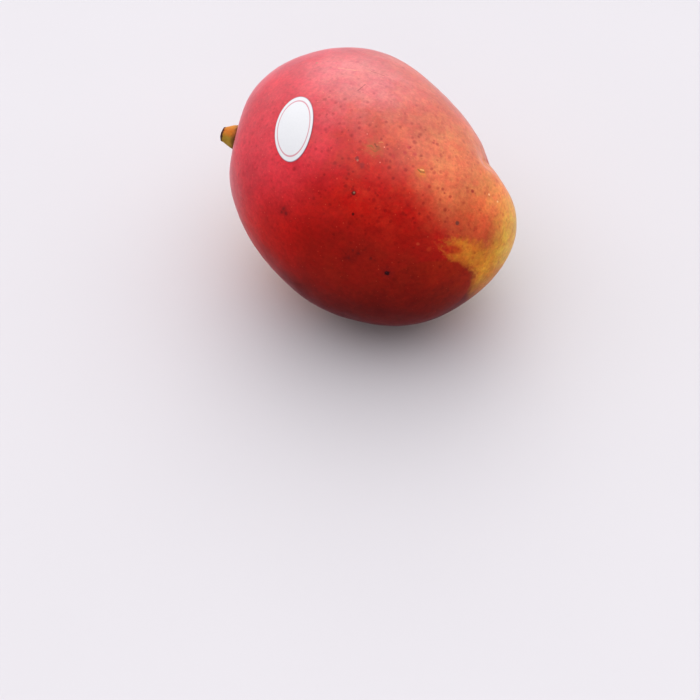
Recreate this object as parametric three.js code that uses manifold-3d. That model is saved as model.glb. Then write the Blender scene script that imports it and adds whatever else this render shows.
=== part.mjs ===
// A whole ripe mango lying on its far cheek, with its cut stalk and a plain oval paper label.
// Millimetres, +Z up. The origin is on the floor, under the middle of the part's box.
import * as THREE from 'three';
import { mergeVertices } from 'three/addons/utils/BufferGeometryUtils.js';
import Module from 'manifold-3d';

const wasm = await Module();
wasm.setup();

// Driving dimensions of the body, an ellipsoid that the swellings below shape.
const HALF_LENGTH = 59;
const HALF_DEPTH = 45;
const HALF_THICKNESS = 43.5;

// Each swelling raises the skin by height (mm) round one place on the fruit. The place is an
// angle from the apex and an angle around from the ventral line, where 90 is the near cheek
// and 180 the dorsal line. along and across are its spread in degrees, and bend turns a
// straight groove into a chevron that points to the apex.
const SWELLINGS = [
  { name: 'stem cavity', fromApex: 175, around: 90, height: -4, along: 12, across: 12, bend: 0 },
  { name: 'near cheek', fromApex: 108, around: 90, height: 1.5, along: 40, across: 45, bend: 0 },
  { name: 'far cheek', fromApex: 108, around: -90, height: 1.5, along: 40, across: 45, bend: 0 },
  { name: 'near slope', fromApex: 48, around: 90, height: -1.5, along: 28, across: 35, bend: 0 },
  { name: 'far slope', fromApex: 48, around: -90, height: -1.5, along: 28, across: 35, bend: 0 },
  { name: 'sinus', fromApex: 24, around: 0, height: -4.8, along: 7, across: 20, bend: 0.3 },
  { name: 'beak', fromApex: 14, around: 0, height: -0.5, along: 14, across: 20, bend: 0 },
  { name: 'ventral slope', fromApex: 34, around: 0, height: -5.5, along: 20, across: 35, bend: 0 },
  { name: 'ventral belly', fromApex: 62, around: 0, height: -2.7, along: 24, across: 35, bend: 0 },
  { name: 'ventral shoulder', fromApex: 109, around: 0, height: 6, along: 28, across: 40, bend: 0 },
  { name: 'stem shoulder', fromApex: 140, around: 0, height: 3.2, along: 24, across: 40, bend: 0 },
  { name: 'dorsal knee', fromApex: 48, around: 180, height: 4, along: 22, across: 40, bend: 0 },
  { name: 'dorsal belly', fromApex: 83, around: 180, height: 3.8, along: 30, across: 40, bend: 0 },
  { name: 'dorsal back', fromApex: 121, around: 180, height: -1, along: 30, across: 40, bend: 0 },
  { name: 'dorsal shoulder', fromApex: 161, around: 180, height: -4.6, along: 30, across: 40, bend: 0 },
];
const CHEVRON_ROUNDING = 6; // degrees over which the point of a bent groove is rounded

// How the fruit lies: rolled so that its near cheek looks up, and dipping to its apex.
const ROLL = 26;
const DIP = 6;
const FLAT_SPOT_DEPTH = 1.1; // what the resting weight presses flat

// The cut stalk, which flares from its cut end to its root in a close socket.
const STALK_ROOT = 2; // length below the floor of the stem cavity
const STALK_LENGTH = 7; // length above it
const STALK_BASE_RADIUS = 4.9;
const STALK_END_RADIUS = 2.7;
const STALK_EDGE = 0.4; // the cut end's worn edge
const STALK_LEAN = -5; // degrees from the fruit's own axis; below zero it leans to the dorsal side

// The label, an oval of paper that follows the skin.
const LABEL = { fromApex: 121, around: 90, length: 25, width: 15, turn: 16, thickness: 0.4 };
const GAP = 0.3; // between a piece and the one that it touches

// How finely the surfaces are divided.
const AROUND_STEPS = 72;
const ALONG_STEPS = 60;
const STALK_STEPS = 24;
const STALK_RINGS = 6;
const LABEL_STEPS = 40;
const LABEL_RINGS = 4;

const degrees = THREE.MathUtils.degToRad;

// In the fruit's own frame +X runs from the stem to the apex, +Y is ventral, +Z the near cheek.
function direction(fromApex, around) {
  const a = degrees(fromApex);
  const b = degrees(around);
  return new THREE.Vector3(Math.cos(a), Math.sin(a) * Math.cos(b), Math.sin(a) * Math.sin(b));
}

// Unit tangents at a place: towards the stem along the skin, and around the fruit.
function tangents(fromApex, around) {
  const b = degrees(around);
  const turned = new THREE.Vector3(0, -Math.sin(b), Math.cos(b));
  return { toStem: direction(fromApex + 90, around), round: turned };
}

// How far the skin lies from the centre of the fruit, along a unit vector.
function skinRadius(n) {
  let radius = 1 / Math.hypot(n.x / HALF_LENGTH, n.y / HALF_DEPTH, n.z / HALF_THICKNESS);
  for (const swelling of SWELLINGS) {
    const { toStem, round } = tangents(swelling.fromApex, swelling.around);
    const middle = direction(swelling.fromApex, swelling.around);
    const away = THREE.MathUtils.radToDeg(Math.acos(THREE.MathUtils.clamp(n.dot(middle), -1, 1)));
    const length = Math.hypot(n.dot(toStem), n.dot(round)) + 1e-9;
    const across = (away * n.dot(round)) / length;
    const chevron = swelling.bend * (Math.hypot(across, CHEVRON_ROUNDING) - CHEVRON_ROUNDING);
    const along = (away * n.dot(toStem)) / length - chevron;
    radius += swelling.height * Math.exp(-((along / swelling.along) ** 2) - (across / swelling.across) ** 2);
  }
  return radius;
}

// Moves every vertex of a geometry to where place() puts it.
function reshape(geometry, place) {
  const positions = geometry.getAttribute('position');
  const point = new THREE.Vector3();
  for (let i = 0; i < positions.count; i += 1) {
    place(point.fromBufferAttribute(positions, i));
    positions.setXYZ(i, point.x, point.y, point.z);
  }
  return geometry;
}

// Closes a geometry by merging the vertices that its seams and poles share.
function welded(geometry) {
  geometry.deleteAttribute('normal');
  geometry.deleteAttribute('uv');
  return mergeVertices(geometry, 1e-4);
}

function solidOf(geometry) {
  const closed = welded(geometry.clone());
  const vertProperties = new Float32Array(closed.getAttribute('position').array);
  const triVerts = new Uint32Array(closed.index.array);
  return new wasm.Manifold(new wasm.Mesh({ numProp: 3, vertProperties, triVerts }));
}

function geometryOf(solid) {
  const mesh = solid.getMesh();
  const geometry = new THREE.BufferGeometry();
  geometry.setAttribute('position', new THREE.BufferAttribute(mesh.vertProperties, 3));
  geometry.setIndex(new THREE.BufferAttribute(mesh.triVerts, 1));
  geometry.computeVertexNormals();
  return geometry;
}

// The whole fruit before it is pressed flat or pierced, with its poles at stem and apex.
function fruitGeometry() {
  const ball = new THREE.SphereGeometry(1, AROUND_STEPS, ALONG_STEPS);
  ball.rotateZ(-Math.PI / 2);
  return reshape(welded(ball), (point) => {
    point.normalize();
    point.multiplyScalar(skinRadius(point));
  });
}

// Stands a piece that was turned about +Y in the stem cavity, with its y = 0 at the cavity's floor.
function inCavity(geometry) {
  const cavity = SWELLINGS.find((swelling) => swelling.name === 'stem cavity');
  const outward = direction(cavity.fromApex, cavity.around);
  const foot = outward.clone().multiplyScalar(skinRadius(outward));
  const lean = new THREE.Vector3(-Math.cos(degrees(STALK_LEAN)), Math.sin(degrees(STALK_LEAN)), 0);
  geometry.applyQuaternion(new THREE.Quaternion().setFromUnitVectors(new THREE.Vector3(0, 1, 0), lean));
  return geometry.translate(foot.x, foot.y, foot.z);
}

function stalkGeometry() {
  const points = [new THREE.Vector2(0, -STALK_ROOT), new THREE.Vector2(STALK_BASE_RADIUS, -STALK_ROOT)];
  for (let ring = 0; ring <= STALK_RINGS; ring += 1) {
    const part = ring / STALK_RINGS;
    const flare = (1 + Math.cos(Math.PI * part)) / 2;
    const radius = THREE.MathUtils.lerp(STALK_END_RADIUS, STALK_BASE_RADIUS, flare);
    points.push(new THREE.Vector2(radius, part * (STALK_LENGTH - STALK_EDGE)));
  }
  points.push(new THREE.Vector2(STALK_END_RADIUS - STALK_EDGE, STALK_LENGTH));
  points.push(new THREE.Vector2(0, STALK_LENGTH));
  return inCavity(new THREE.LatheGeometry(points, STALK_STEPS));
}

// The round hole that the stalk's root stands in, clear of it all round.
function socketGeometry() {
  const radius = STALK_BASE_RADIUS + GAP;
  const depth = STALK_ROOT + GAP;
  const drill = new THREE.CylinderGeometry(radius, radius, depth + STALK_LENGTH, STALK_STEPS);
  drill.translate(0, (STALK_LENGTH - depth) / 2, 0);
  return inCavity(drill);
}

// A thin closed oval disc, then wrapped over the skin at the label's place.
function labelGeometry() {
  const outline = [new THREE.Vector2(0, 0)];
  for (let ring = 1; ring <= LABEL_RINGS; ring += 1) outline.push(new THREE.Vector2(ring / LABEL_RINGS, 0));
  for (let ring = LABEL_RINGS; ring >= 1; ring -= 1) outline.push(new THREE.Vector2(ring / LABEL_RINGS, 1));
  outline.push(new THREE.Vector2(0, 1));
  const disc = new THREE.LatheGeometry(outline, LABEL_STEPS);
  const middle = direction(LABEL.fromApex, LABEL.around);
  const centre = middle.clone().multiplyScalar(skinRadius(middle));
  const { toStem, round } = tangents(LABEL.fromApex, LABEL.around);
  const turn = degrees(LABEL.turn);
  const longWay = round.clone().multiplyScalar(-Math.cos(turn)).addScaledVector(toStem, Math.sin(turn));
  const shortWay = new THREE.Vector3().crossVectors(middle, longWay);
  return reshape(welded(disc), (point) => {
    const height = GAP + point.y * LABEL.thickness;
    const onPlane = centre.clone()
      .addScaledVector(longWay, (point.z * LABEL.length) / 2)
      .addScaledVector(shortWay, (point.x * LABEL.width) / 2);
    point.copy(onPlane.normalize());
    point.multiplyScalar(skinRadius(point) + height);
  });
}

const lying = new THREE.Group();
lying.rotation.set(degrees(ROLL), degrees(DIP), 0, 'YXZ');
lying.updateMatrixWorld();

// The block under the floor that the flat spot is cut with, in the fruit's own frame.
function underFloor(geometry) {
  const rested = geometry.clone().applyMatrix4(lying.matrixWorld);
  rested.computeBoundingBox();
  const floor = rested.boundingBox.min.z + FLAT_SPOT_DEPTH;
  const block = new THREE.BoxGeometry(4 * HALF_LENGTH, 4 * HALF_LENGTH, HALF_LENGTH);
  block.translate(0, 0, floor - HALF_LENGTH / 2);
  return block.applyMatrix4(lying.matrixWorld.clone().invert());
}

const whole = fruitGeometry();
const body = solidOf(whole).subtract(solidOf(underFloor(whole))).subtract(solidOf(socketGeometry()));

const skinMaterial = new THREE.MeshStandardMaterial({ color: 0xb23a34, roughness: 0.42, metalness: 0 });
const stalkMaterial = new THREE.MeshStandardMaterial({ color: 0x8f6f2c, roughness: 0.75, metalness: 0 });
const labelMaterial = new THREE.MeshStandardMaterial({ color: 0xf1edef, roughness: 0.5, metalness: 0 });

function piece(name, geometry, material) {
  const mesh = new THREE.Mesh(geometry, material);
  mesh.name = name;
  lying.add(mesh);
}

piece('fruit', geometryOf(body), skinMaterial);
piece('stalk', geometryOf(solidOf(stalkGeometry())), stalkMaterial);
piece('label', geometryOf(solidOf(labelGeometry())), labelMaterial);

// Stands the part on the floor, with the middle of its box over the origin.
const box = new THREE.Box3().setFromObject(lying, true);
const middleOfBox = box.getCenter(new THREE.Vector3());
lying.position.set(-middleOfBox.x, -middleOfBox.y, -box.min.z);

const mango = new THREE.Group();
mango.add(lying);

export default mango;
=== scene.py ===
"""A ripe red mango lying on its cheek, with its cut stalk and a plain oval paper label.

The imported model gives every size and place. Each visible piece is modelled over its solid,
dressed in a procedural finish and set in a plain pale studio. Metres, +Z up.
"""

from __future__ import annotations

import logging
import math
from dataclasses import dataclass, field
from enum import Enum
from typing import Callable

import bpy
from mathutils import Euler, Matrix, Vector


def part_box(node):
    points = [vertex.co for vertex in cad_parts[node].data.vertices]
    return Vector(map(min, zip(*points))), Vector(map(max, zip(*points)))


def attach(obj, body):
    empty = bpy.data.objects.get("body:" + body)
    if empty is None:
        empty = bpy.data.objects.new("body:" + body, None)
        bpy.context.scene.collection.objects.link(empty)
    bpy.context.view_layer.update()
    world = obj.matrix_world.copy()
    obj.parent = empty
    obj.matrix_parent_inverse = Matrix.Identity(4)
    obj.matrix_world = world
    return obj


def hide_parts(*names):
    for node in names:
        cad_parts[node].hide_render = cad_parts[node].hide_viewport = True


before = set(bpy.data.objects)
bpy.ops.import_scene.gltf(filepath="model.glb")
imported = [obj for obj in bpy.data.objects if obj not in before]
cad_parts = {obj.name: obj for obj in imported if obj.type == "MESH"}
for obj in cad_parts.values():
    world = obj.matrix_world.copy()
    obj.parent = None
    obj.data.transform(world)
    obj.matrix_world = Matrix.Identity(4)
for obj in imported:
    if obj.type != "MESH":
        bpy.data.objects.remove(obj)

LOG = logging.getLogger("mango")
BODY = "root"
MM = 0.001
PHOTO_SIDE = 700

Triple = tuple[float, float, float]
Colour = Triple
Span = tuple[float, float]
Socket = bpy.types.NodeSocket


class Slot(str, Enum):
    """The record's material slots."""

    SKIN = "skin"
    STALK = "stalk"
    LABEL = "label"


def srgb(red: int, green: int, blue: int) -> Colour:
    """Turns a colour as a screen shows it into the linear colour that a shader takes.

    Args:
        red: 0 to 255.
        green: 0 to 255.
        blue: 0 to 255.

    Returns:
        The linear red, green and blue, 0 to 1.
    """
    shares = (red / 255, green / 255, blue / 255)
    return tuple(s / 12.92 if s <= 0.04045 else ((s + 0.055) / 1.055) ** 2.4 for s in shares)


@dataclass(frozen=True)
class FruitAxes:
    """How the fruit lies: its own +X runs from stem to apex, +Y is ventral, +Z the near cheek."""

    roll: float = math.radians(26)
    dip: float = math.radians(6)
    heart: Vector = field(default_factory=lambda: Vector((0.0005, -0.0006, 0.0439)))
    probe: float = 0.1

    def turn(self) -> Matrix:
        """The turn from the fruit's axes to the row's."""
        return Euler((self.roll, self.dip, 0)).to_matrix()

    def on_skin(self, skin: bpy.types.Object, from_apex: float, around: float) -> Vector:
        """Finds a place on the skin with a ray that starts well outside it.

        Args:
            skin: the modelled skin.
            from_apex: degrees from the apex.
            around: degrees around from the ventral line.

        Returns:
            The place in metres, on the fruit's own axes.
        """
        way = self.turn() @ self.direction(from_apex, around)
        found, hit, _, _ = skin.ray_cast(self.heart + way * self.probe, -way)
        if not found:
            raise ValueError(f"no skin at {from_apex}, {around}")
        return self.turn().transposed() @ (hit - self.heart)

    @staticmethod
    def direction(from_apex: float, around: float) -> Vector:
        """A unit vector on the fruit's own axes.

        Args:
            from_apex: degrees from the apex.
            around: degrees around from the ventral line; 90 is the near cheek, 180 the dorsal line.

        Returns:
            The unit vector from the heart of the fruit to that place.
        """
        a, b = math.radians(from_apex), math.radians(around)
        return Vector((math.cos(a), math.sin(a) * math.cos(b), math.sin(a) * math.sin(b)))


AXES = FruitAxes()


# Nodes

class Sketch:
    """Adds and wires the nodes of one shader tree."""

    def __init__(self, tree: bpy.types.NodeTree) -> None:
        """Starts on a tree."""
        self.tree = tree

    def node(self, kind: str, **settings: object) -> bpy.types.Node:
        """Adds one node.

        Args:
            kind: the node's type.
            settings: its own settings by name.

        Returns:
            The node.
        """
        made = self.tree.nodes.new(kind)
        for name, value in settings.items():
            setattr(made, name, value)
        return made

    def feed(self, socket: Socket, value: object) -> None:
        """Wires an input to another node, or sets it where the value is a plain one.

        Args:
            socket: the input.
            value: a socket, a number, a vector or a colour.
        """
        if isinstance(value, bpy.types.NodeSocket):
            self.tree.links.new(value, socket)
        elif isinstance(value, tuple) and len(value) == 3 and socket.type == "RGBA":
            socket.default_value = (*value, 1.0)
        else:
            socket.default_value = value

    def here(self) -> Socket:
        """Each point's place in the row frame."""
        return self.node("ShaderNodeTexCoord").outputs["Object"]

    def own_axes(self, where: Socket, centre: Vector, turn: object,
                 size: Triple = (1.0, 1.0, 1.0)) -> Socket:
        """A place as one part of the fruit sees it, on its own axes and in its own sizes.

        Args:
            where: the place in the row frame.
            centre: the part's middle.
            turn: how its axes are turned, as an Euler rotation.
            size: what counts as 1 along each of them.

        Returns:
            The place on those axes.
        """
        made = self.node("ShaderNodeMapping", vector_type="TEXTURE")
        self.feed(made.inputs["Vector"], where)
        made.inputs["Location"].default_value = centre
        made.inputs["Rotation"].default_value = turn
        made.inputs["Scale"].default_value = size
        return made.outputs["Vector"]

    def math(self, operation: str, *values: object, clamp: bool = False) -> Socket:
        """One Math node.

        Args:
            operation: the node's operation.
            values: its inputs in order.
            clamp: keeps the result from 0 to 1.

        Returns:
            Its value.
        """
        made = self.node("ShaderNodeMath", operation=operation, use_clamp=clamp)
        for socket, value in zip(made.inputs, values):
            self.feed(socket, value)
        return made.outputs[0]

    def times(self, one: object, other: object) -> Socket:
        """The product of two values."""
        return self.math("MULTIPLY", one, other)

    def between(self, mask: object, bare: float, covered: float) -> Socket:
        """A value that a mask of 0 leaves at the first number and a mask of 1 takes to the second."""
        return self.math("MULTIPLY_ADD", mask, covered - bare, bare)

    def vectors(self, operation: str, *values: object) -> bpy.types.Node:
        """One Vector Math node.

        Args:
            operation: the node's operation.
            values: its inputs in order.

        Returns:
            The node.
        """
        made = self.node("ShaderNodeVectorMath", operation=operation)
        for socket, value in zip(made.inputs, values):
            self.feed(socket, value)
        return made

    def vector(self, operation: str, *values: object) -> Socket:
        """One Vector Math node's vector."""
        return self.vectors(operation, *values).outputs["Vector"]

    def measure(self, operation: str, *values: object) -> Socket:
        """One Vector Math node's value, such as a length, distance or dot product."""
        return self.vectors(operation, *values).outputs["Value"]

    def scaled(self, vector: object, factor: object) -> Socket:
        """A vector times a number.

        Args:
            vector: what is scaled.
            factor: the number.

        Returns:
            The scaled vector.
        """
        made = self.vectors("SCALE", vector)
        self.feed(made.inputs["Scale"], factor)
        return made.outputs["Vector"]

    def step(self, value: object, low: object, high: object, to: Span = (0.0, 1.0)) -> Socket:
        """A smooth step of a value between two levels.

        Args:
            value: what is measured.
            low: where the step starts.
            high: where it ends.
            to: what comes out below and above it.

        Returns:
            The stepped value.
        """
        made = self.node("ShaderNodeMapRange", interpolation_type="SMOOTHSTEP")
        for name, given in (("Value", value), ("From Min", low), ("From Max", high)):
            self.feed(made.inputs[name], given)
        made.inputs["To Min"].default_value, made.inputs["To Max"].default_value = to
        return made.outputs["Result"]

    def mix(self, factor: object, under: object, over: object, blend: str = "MIX") -> Socket:
        """One colour laid over another.

        Args:
            factor: how much of the upper one shows.
            under: the lower colour.
            over: the upper colour.
            blend: how they mix.

        Returns:
            The mixed colour.
        """
        made = self.node("ShaderNodeMix", data_type="RGBA", blend_type=blend, clamp_factor=True)
        self.feed(made.inputs["Factor"], factor)
        self.feed(made.inputs["A"], under)
        self.feed(made.inputs["B"], over)
        return made.outputs["Result"]

    def lay(self, mask: Socket, strength: object, under: object, over: object) -> Socket:
        """A colour laid over another where a mask is, at a strength."""
        return self.mix(self.times(mask, strength), under, over)

    def noise(self, where: Socket, lumps: object, detail: float = 2.0, rough: float = 0.5) -> Socket:
        """A noise of mean about 0.5.

        Args:
            where: the place that it is read at.
            lumps: how many lumps there are to a unit of that place.
            detail: how many finer noises are added.
            rough: how strong those are.

        Returns:
            Its value.
        """
        made = self.node("ShaderNodeTexNoise")
        for name, value in (("Vector", where), ("Scale", lumps), ("Detail", detail), ("Roughness", rough)):
            self.feed(made.inputs[name], value)
        return made.outputs["Fac"]

    def cells(self, where: Socket, scale: object) -> tuple[Socket, Socket]:
        """Scattered points.

        Args:
            where: the place that they are read at.
            scale: how many there are to a unit of it.

        Returns:
            The distance to the nearest point, and its random colour.
        """
        made = self.node("ShaderNodeTexVoronoi")
        self.feed(made.inputs["Vector"], where)
        self.feed(made.inputs["Scale"], scale)
        return made.outputs["Distance"], made.outputs["Color"]

    def relief(self, height: Socket, strength: float, depth: float) -> Socket:
        """A fine relief.

        Args:
            height: its height, 0 to 1.
            strength: how much of it shows.
            depth: how many metres a height of 1 stands for.

        Returns:
            The normal that it gives.
        """
        bump = self.node("ShaderNodeBump")
        bump.inputs["Strength"].default_value = strength
        bump.inputs["Distance"].default_value = depth
        self.feed(bump.inputs["Height"], height)
        return bump.outputs["Normal"]


@dataclass(frozen=True)
class Pattern:
    """A noise of so many lumps a metre, stepped smoothly between two of its levels."""

    lumps: float
    detail: float
    rough: float
    low: float
    high: float
    to: Span = (0.0, 1.0)

    def draw(self, s: Sketch, where: Socket) -> Socket:
        """Adds the noise and its step to a tree."""
        return s.step(s.noise(where, self.lumps, self.detail, self.rough), self.low, self.high, self.to)


@dataclass(frozen=True)
class Dots:
    """Dots scattered in cells of so many a metre: their radius in cells, and the share of cells with one."""

    cells: float
    radius: float
    share: float


def group(name: str, inputs: dict[str, object],
          draw: Callable[[Sketch, dict[str, Socket]], Socket]) -> bpy.types.NodeTree:
    """Makes a shader node group that puts out one mask.

    Args:
        name: the group's name.
        inputs: each input's name, with the value that it starts at; a vector is a triple.
        draw: adds the nodes and returns the socket behind the mask.

    Returns:
        The group.
    """
    tree = bpy.data.node_groups.new(name, "ShaderNodeTree")
    for label, start in inputs.items():
        kind = "NodeSocketVector" if isinstance(start, tuple) else "NodeSocketFloat"
        tree.interface.new_socket(label, in_out="INPUT", socket_type=kind).default_value = start
    tree.interface.new_socket("Mask", in_out="OUTPUT", socket_type="NodeSocketFloat")
    sketch = Sketch(tree)
    entry = sketch.node("NodeGroupInput")
    mask = draw(sketch, {label: entry.outputs[label] for label in inputs})
    leave = sketch.node("NodeGroupOutput")
    sketch.feed(leave.inputs["Mask"], mask)
    return tree


class Effects:
    """The node groups that the finishes share."""

    def __init__(self) -> None:
        """Builds every group once."""
        nowhere = (0.0, 0.0, 0.0)
        self.zone = group("zone", {
            "Direction": nowhere, "Centre": nowhere, "Along": nowhere, "Across": nowhere,
            "Long": 0.5, "Short": 0.5, "Soft": 0.2, "Wobble": 0.1, "Scale": 30.0,
        }, self._zone)
        self.spot = group("spot", {
            "Position": nowhere, "Centre": nowhere, "Radius": 0.001, "Soft": 0.3, "Wobble": 0.2,
        }, self._spot)
        self.stroke = group("stroke", {
            "Position": nowhere, "Start": nowhere, "End": nowhere, "Width": 0.0002, "Broken": 0.5,
        }, self._stroke)
        self.dots = group("dots", {
            "Position": nowhere, "Scale": 400.0, "Radius": 0.1, "Share": 0.5,
        }, self._dots)

    @staticmethod
    def place(s: Sketch, effect: bpy.types.NodeTree, **values: object) -> Socket:
        """Puts one group into a material.

        Args:
            s: the material's sketch.
            effect: the group.
            values: its inputs by name, each a socket or a plain value.

        Returns:
            Its mask.
        """
        made = s.node("ShaderNodeGroup", node_tree=effect)
        for name, value in values.items():
            s.feed(made.inputs[name], value)
        return made.outputs["Mask"]

    def area(self, s: Sketch, direction: Socket, zone: Zone) -> Socket:
        """Marks one oval area of the skin.

        Args:
            s: the material's sketch.
            direction: each point's direction from the heart of the fruit.
            zone: the area.

        Returns:
            Its mask.
        """
        long_way, short_way = zone.ways()
        return self.place(s, self.zone, Direction=direction, Centre=zone.centre(), Along=long_way,
                          Across=short_way, Long=2 * math.sin(math.radians(zone.long / 2)),
                          Short=2 * math.sin(math.radians(zone.short / 2)), Soft=zone.soft,
                          Wobble=zone.wobble, Scale=zone.lumps)

    def scatter(self, s: Sketch, position: Socket, dots: Dots) -> Socket:
        """The mask of dots scattered all over."""
        return self.place(s, self.dots, Position=position, Scale=dots.cells, Radius=dots.radius,
                          Share=dots.share)

    @staticmethod
    def _fade(s: Sketch, away: Socket, soft: Socket) -> Socket:
        """Fades a mark out round its border.

        Args:
            s: the group's sketch.
            away: how far a point lies from the middle, with the border at 1.
            soft: how far the fading reaches on either side of the border.

        Returns:
            The mask, 1 inside.
        """
        return s.step(away, s.math("SUBTRACT", 1.0, soft), s.math("ADD", 1.0, soft), (1.0, 0.0))

    @staticmethod
    def _zone(s: Sketch, given: dict[str, Socket]) -> Socket:
        """An oval area of the skin with a soft and wandering edge.

        Args:
            s: the group's sketch.
            given: the group's inputs by name.

        Returns:
            The mask.
        """
        facing = s.measure("DOT_PRODUCT", given["Direction"], given["Centre"])
        # The cosine of half the angle to the centre, which the last digit keeps above zero at the back.
        half = s.math("SQRT", s.math("MULTIPLY_ADD", facing, 0.5, 0.500001))
        along = s.measure("DOT_PRODUCT", given["Direction"], given["Along"])
        along = s.math("DIVIDE", along, given["Long"])
        across = s.measure("DOT_PRODUCT", given["Direction"], given["Across"])
        across = s.math("DIVIDE", across, given["Short"])
        reach = s.math("SQRT", s.math("ADD", s.times(along, along), s.times(across, across)))
        uneven = s.noise(given["Direction"], given["Scale"], 3.0, 0.6)
        wander = s.times(s.math("SUBTRACT", uneven, 0.5), given["Wobble"])
        away = s.math("ADD", s.math("DIVIDE", reach, half), wander)
        return Effects._fade(s, away, given["Soft"])

    @staticmethod
    def _spot(s: Sketch, given: dict[str, Socket]) -> Socket:
        """A round mark with an uneven edge.

        Args:
            s: the group's sketch.
            given: the group's inputs by name.

        Returns:
            The mask.
        """
        uneven = s.noise(given["Position"], 900.0, 2.0)
        wander = s.times(s.math("SUBTRACT", uneven, 0.5), given["Wobble"])
        away = s.measure("DISTANCE", given["Position"], given["Centre"])
        away = s.math("ADD", s.math("DIVIDE", away, given["Radius"]), wander)
        return Effects._fade(s, away, given["Soft"])

    @staticmethod
    def _stroke(s: Sketch, given: dict[str, Socket]) -> Socket:
        """A thin scratch from one point to another, broken here and there.

        Args:
            s: the group's sketch.
            given: the group's inputs by name.

        Returns:
            The mask.
        """
        reach = s.vector("SUBTRACT", given["End"], given["Start"])
        since = s.vector("SUBTRACT", given["Position"], given["Start"])
        part = s.measure("DOT_PRODUCT", since, reach)
        part = s.math("DIVIDE", part, s.measure("DOT_PRODUCT", reach, reach), clamp=True)
        away = s.measure("LENGTH", s.vector("SUBTRACT", since, s.scaled(reach, part)))
        gaps = s.times(s.noise(given["Position"], 700.0, 3.0), given["Broken"])
        near = s.math("ADD", s.math("DIVIDE", away, given["Width"]), gaps)
        return s.step(near, 0.4, 1.2, (1.0, 0.0))

    @staticmethod
    def _dots(s: Sketch, given: dict[str, Socket]) -> Socket:
        """Scattered dots of uneven size.

        Args:
            s: the group's sketch.
            given: the group's inputs by name; Share is how many of the cells hold a dot.

        Returns:
            The mask.
        """
        away, chance = s.cells(given["Position"], given["Scale"])
        split = s.node("ShaderNodeSeparateColor")
        s.feed(split.inputs[0], chance)
        size = s.math("ADD", s.times(split.outputs[1], 0.9), 0.55)
        size = s.times(given["Radius"], size)
        dot = s.step(away, s.times(size, 0.3), size, (1.0, 0.0))
        return s.times(dot, s.math("LESS_THAN", split.outputs[0], given["Share"]))


# Finishes

@dataclass(frozen=True)
class Zone:
    """An oval area of the skin round one place on the fruit. Places and spreads are in degrees."""

    from_apex: float
    around: float
    long: float
    short: float
    colour: Colour = (0.0, 0.0, 0.0)
    strength: float = 1.0
    turn: float = 0.0
    soft: float = 0.35
    wobble: float = 0.5
    lumps: float = 5.0

    def centre(self) -> Vector:
        """The middle of the area, on the fruit's own axes."""
        return AXES.direction(self.from_apex, self.around)

    def ways(self) -> tuple[Vector, Vector]:
        """Works out which way the area spreads.

        Returns:
            The directions of the long and the short spread; unturned, the long one runs to the stem.
        """
        to_stem = AXES.direction(self.from_apex + 90, self.around)
        b = math.radians(self.around)
        round_fruit = Vector((0, -math.sin(b), math.cos(b)))
        c, s = math.cos(math.radians(self.turn)), math.sin(math.radians(self.turn))
        return to_stem * c + round_fruit * s, round_fruit * c - to_stem * s


@dataclass(frozen=True)
class Blemish:
    """A small round mark on the skin: its place in degrees, its radius in mm and how deep it is sunk."""

    from_apex: float
    around: float
    radius: float
    colour: Colour
    strength: float = 0.8
    soft: float = 0.35
    wobble: float = 0.5
    sunk: float = 0.0


@dataclass(frozen=True)
class Scratch:
    """A thin line on the skin between two places in degrees, with its width in mm."""

    start: tuple[float, float]
    end: tuple[float, float]
    width: float
    colour: Colour
    strength: float = 0.6
    broken: float = 0.5


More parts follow.
